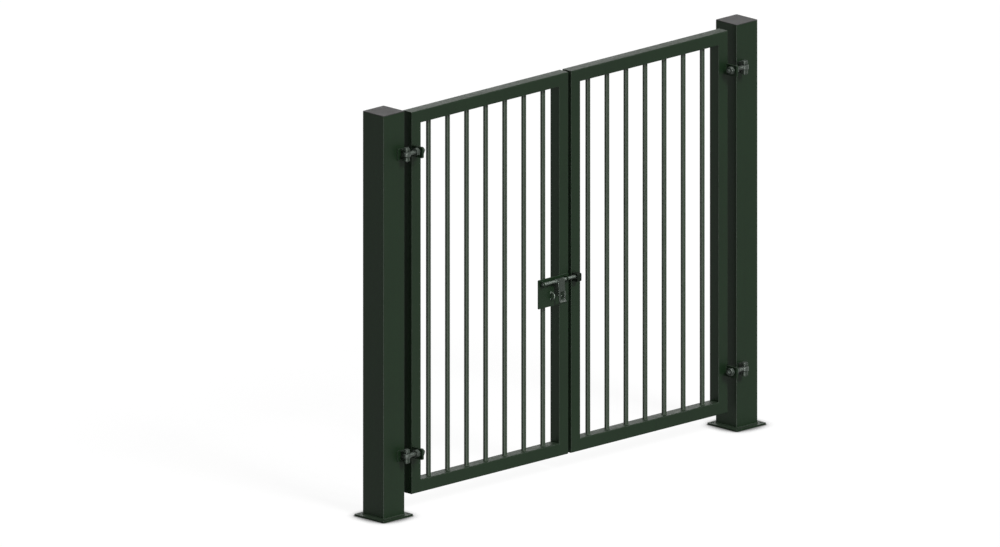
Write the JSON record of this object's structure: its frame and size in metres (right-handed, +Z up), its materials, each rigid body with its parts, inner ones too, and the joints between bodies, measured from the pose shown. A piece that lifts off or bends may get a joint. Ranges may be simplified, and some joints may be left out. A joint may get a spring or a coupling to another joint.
{
  "type": "double swing gate",
  "caption": "Double swing gate: barred leaves in square-tube frames hang on eye bolts between posts on base plates, with a sliding bolt for a padlock.",
  "frame": {"origin": "middle of the left base plate's underside, on the ground", "axes": "+X along the gate from the left post to the right post, +Y to the back, away from the hinges and the bolt, +Z up"},
  "size_m": [2.71, 0.247, 2.1],
  "materials": {
    "green_coat": "fir green powder coat, satin",
    "cap_plastic": "moulded grey",
    "bracket_steel": "fir green powder coat, satin",
    "hinge_steel": "zinc plated, dull",
    "bolt_steel": "zinc plated, dull"
  },
  "bodies": {
    "root": {"left_base_plate": "green_coat", "right_base_plate": "green_coat", "left_post": "green_coat", "right_post": "green_coat", "left_post_cap": "cap_plastic", "right_post_cap": "cap_plastic", "left_lower_post_bracket": "bracket_steel", "left_upper_post_bracket": "bracket_steel", "right_lower_post_bracket": "bracket_steel", "right_upper_post_bracket": "bracket_steel", "left_lower_hinge_pin": "hinge_steel", "left_upper_hinge_pin": "hinge_steel", "right_lower_hinge_pin": "hinge_steel", "right_upper_hinge_pin": "hinge_steel"},
    "left_leaf": {"left_hinge_stile": "green_coat", "left_meeting_stile": "green_coat", "left_top_rail": "green_coat", "left_bottom_rail": "green_coat", "left_infill_bars": "green_coat", "left_lower_hinge_plate": "green_coat", "left_upper_hinge_plate": "green_coat", "left_lower_eye_bolt": "hinge_steel", "left_upper_eye_bolt": "hinge_steel", "left_lower_hinge_nuts": "hinge_steel", "left_upper_hinge_nuts": "hinge_steel", "lock_plate": "green_coat", "bolt_guides": "green_coat", "padlock_staples": "green_coat"},
    "right_leaf": {"right_hinge_stile": "green_coat", "right_meeting_stile": "green_coat", "right_top_rail": "green_coat", "right_bottom_rail": "green_coat", "right_infill_bars": "green_coat", "right_lower_hinge_plate": "green_coat", "right_upper_hinge_plate": "green_coat", "right_lower_eye_bolt": "hinge_steel", "right_upper_eye_bolt": "hinge_steel", "right_lower_hinge_nuts": "hinge_steel", "right_upper_hinge_nuts": "hinge_steel", "bolt_keeper": "green_coat"},
    "slide_bolt": {"bolt_rod": "bolt_steel", "bolt_collars": "bolt_steel"},
    "flag": {"bolt_flag": "bolt_steel"}
  },
  "joints": [
    {"name": "left_leaf_swing", "type": "hinge", "parent": "root", "child": "left_leaf", "pos_m": [0.0535, -0.111, 1.09], "axis": [0, 0, -1], "range_deg": [0, 180]},
    {"name": "right_leaf_swing", "type": "hinge", "parent": "root", "child": "right_leaf", "pos_m": [2.4465, -0.111, 1.09], "axis": [0, 0, 1], "range_deg": [0, 180]},
    {"name": "bolt_slide", "type": "slide", "parent": "left_leaf", "child": "slide_bolt", "axis": [-1, 0, 0], "range_m": [0, 0.076]},
    {"name": "flag_lift", "type": "hinge", "parent": "slide_bolt", "child": "flag", "pos_m": [1.153, -0.092, 1.02], "axis": [-1, 0, 0], "range_deg": [0, 165]}
  ]
}
